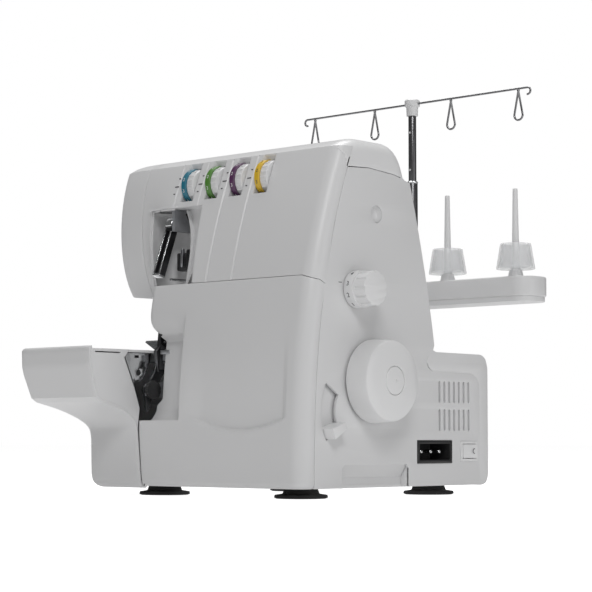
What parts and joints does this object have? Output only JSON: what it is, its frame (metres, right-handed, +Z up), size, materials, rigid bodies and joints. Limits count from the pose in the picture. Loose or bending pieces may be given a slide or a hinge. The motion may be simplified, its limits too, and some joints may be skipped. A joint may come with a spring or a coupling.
{
  "type": "serger overlock machine",
  "caption": "Free-standing overlock sewing machine with handwheel, tension dials, looper door, swing-out cloth tray and telescopic thread stand.",
  "frame": {"origin": "on the table, midway between the four feet", "axes": "+X to the operator's right (handwheel side), +Y to the back, +Z up"},
  "size_m": [0.34, 0.313, 0.359],
  "materials": {
    "shell_white": "satin-gloss moulded ABS, off-white",
    "shell_grey": "fine-textured moulded ABS, light grey",
    "knob_white": "moulded ABS, white",
    "cone_clear": "translucent white polyethylene",
    "black_plastic": "black nylon",
    "rubber_black": "black rubber",
    "cast_frame": "sand-textured die casting",
    "steel": "ground steel",
    "bright_steel": "polished plated steel",
    "black_steel": "blackened steel",
    "bronze": "sintered bronze",
    "dial_teal": "teal band with numbers",
    "dial_green": "green band with numbers",
    "dial_purple": "purple band with numbers",
    "dial_yellow": "yellow band with numbers",
    "tube_dark": "dark lacquered tube"
  },
  "bodies": {
    "root": {"base_frame": "cast_frame", "bottom_cover": "shell_grey", "feet": "rubber_black", "base_screws": "bright_steel", "face_cover": "shell_white", "front_cover": "shell_white", "top_cover": "shell_white", "right_cover": "shell_white", "rear_cover": "shell_white", "shaft_bushes": "bronze", "timing_belt": "rubber_black", "motor": "black_steel", "motor_bracket": "steel", "presser_spring": "bright_steel", "needle_plate": "bright_steel", "fixed_knife": "steel", "dial_axle": "steel", "tension_discs": "bright_steel", "switch_frame": "shell_grey", "inlet_socket": "black_plastic", "inlet_pins": "bright_steel", "stand_bracket": "shell_white", "spool_tray": "shell_white", "spool_pins": "knob_white", "spool_cones": "cone_clear", "thread_column": "tube_dark"},
    "door_slider": {"door_hinge_rod": "steel"},
    "door": {"front_door": "shell_white"},
    "side_door": {"left_cover": "shell_white"},
    "main_drive": {"main_shaft": "steel", "shaft_pulley": "black_plastic", "handwheel": "knob_white", "handwheel_cap": "knob_white"},
    "motor_rotor": {"motor_pulley": "steel"},
    "connecting_rod": {"needle_rod": "cast_frame"},
    "rocker": {"rocker_shaft": "steel"},
    "take_up": {"take_up_lever": "black_steel"},
    "needle_slide": {"needle_bar": "bright_steel", "needle_clamp": "steel", "needles": "bright_steel"},
    "presser": {"presser_bar": "bright_steel", "presser_foot": "bright_steel"},
    "lifter": {"lifter_lever": "black_plastic"},
    "feed": {"feed_dog": "steel"},
    "looper_low": {"lower_looper": "bright_steel"},
    "looper_high": {"upper_looper": "bright_steel"},
    "knife": {"moving_knife": "black_steel", "knife_arm": "black_steel", "knife_knob": "black_plastic"},
    "dial_1": {"tension_dial_1": "dial_teal"},
    "dial_2": {"tension_dial_2": "dial_green"},
    "dial_3": {"tension_dial_3": "dial_purple"},
    "dial_4": {"tension_dial_4": "dial_yellow"},
    "length_knob": {"stitch_knob": "knob_white"},
    "feed_ratio": {"feed_lever": "knob_white"},
    "switch": {"power_rocker": "shell_grey"},
    "column_top": {"column_rod": "tube_dark", "column_cap": "knob_white", "guide_wire": "bright_steel", "thread_eyelets": "bright_steel"}
  },
  "joints": [
    {"name": "door_slide", "type": "slide", "parent": "root", "child": "door_slider", "axis": [1, 0, 0], "range_m": [0, 0.008]},
    {"name": "door_tilt", "type": "hinge", "parent": "door_slider", "child": "door", "pos_m": [0, -0.109, 0.013], "axis": [1, 0, 0], "range_deg": [0, 72]},
    {"name": "side_door_swing", "type": "hinge", "parent": "root", "child": "side_door", "pos_m": [-0.15, 0.02, 0.1], "axis": [0, 0, 1], "range_deg": [-75, 0]},
    {"name": "main_shaft_turn", "type": "hinge", "parent": "root", "child": "main_drive", "pos_m": [0, -0.0295, 0.0955], "axis": [1, 0, 0], "continuous": true},
    {"name": "motor_turn", "type": "hinge", "parent": "root", "child": "motor_rotor", "pos_m": [0, 0.085, 0.061], "axis": [1, 0, 0], "continuous": true},
    {"name": "rod_turn", "type": "hinge", "parent": "main_drive", "child": "connecting_rod", "pos_m": [-0.029, -0.0295, 0.1035], "axis": [1, 0, 0], "continuous": true},
    {"name": "rocker_swing", "type": "hinge", "parent": "root", "child": "rocker", "pos_m": [-0.06, 0.004, 0.2225], "axis": [1, 0, 0], "range_deg": [-12, 12]},
    {"name": "take_up_swing", "type": "hinge", "parent": "root", "child": "take_up", "pos_m": [-0.085, -0.07, 0.2355], "axis": [1, 0, 0], "range_deg": [-8, 8]},
    {"name": "needle_stroke", "type": "slide", "parent": "root", "child": "needle_slide", "axis": [0, 0, 1], "range_m": [-0.026, 0]},
    {"name": "presser_lift", "type": "slide", "parent": "root", "child": "presser", "axis": [0, 0, 1], "range_m": [0, 0.006], "deforming": ["presser_spring"]},
    {"name": "lifter_swing", "type": "hinge", "parent": "root", "child": "lifter", "pos_m": [-0.09, 0.034, 0.2045], "axis": [1, 0, 0], "range_deg": [0, 30]},
    {"name": "feed_stroke", "type": "slide", "parent": "root", "child": "feed", "axis": [0, 1, 0], "range_m": [-0.002, 0.002]},
    {"name": "lower_looper_swing", "type": "hinge", "parent": "root", "child": "looper_low", "pos_m": [-0.072, 0, 0.07], "axis": [0, 1, 0], "range_deg": [-8, 8]},
    {"name": "upper_looper_swing", "type": "hinge", "parent": "root", "child": "looper_high", "pos_m": [-0.066, 0, 0.04], "axis": [0, 1, 0], "range_deg": [-6, 6]},
    {"name": "knife_swing", "type": "hinge", "parent": "root", "child": "knife", "pos_m": [-0.078, -0.105, 0.09], "axis": [1, 0, 0], "range_deg": [0, 40]},
    {"name": "length_knob_turn", "type": "hinge", "parent": "root", "child": "length_knob", "pos_m": [0.12, -0.0496, 0.1703], "axis": [1, 0, 0], "range_deg": [0, 270]},
    {"name": "feed_ratio_swing", "type": "hinge", "parent": "root", "child": "feed_ratio", "pos_m": [0.11, -0.048, 0.07], "axis": [1, 0, 0], "range_deg": [-48, 0]},
    {"name": "switch_rock", "type": "hinge", "parent": "root", "child": "switch", "pos_m": [0.106, 0.101, 0.0375], "axis": [0, 0, 1], "range_deg": [-14, 0]},
    {"name": "column_slide", "type": "slide", "parent": "root", "child": "column_top", "axis": [0, 0, 1], "range_m": [-0.06, 0]},
    {"name": "dial_1_turn", "type": "hinge", "parent": "root", "child": "dial_1", "pos_m": [-0.058, -0.06318, 0.268], "axis": [1, 0, 0], "range_deg": [-150, 150]},
    {"name": "dial_2_turn", "type": "hinge", "parent": "root", "child": "dial_2", "pos_m": [-0.0287, -0.06318, 0.268], "axis": [1, 0, 0], "range_deg": [-150, 150]},
    {"name": "dial_3_turn", "type": "hinge", "parent": "root", "child": "dial_3", "pos_m": [0.0006, -0.06318, 0.268], "axis": [1, 0, 0], "range_deg": [-150, 150]},
    {"name": "dial_4_turn", "type": "hinge", "parent": "root", "child": "dial_4", "pos_m": [0.0299, -0.06318, 0.268], "axis": [1, 0, 0], "range_deg": [-150, 150]}
  ],
  "couplings": [
    {"joint": "motor_turn", "follows": "main_shaft_turn", "ratio": 2.8889},
    {"joint": "rod_turn", "follows": "main_shaft_turn", "ratio": -1}
  ]
}
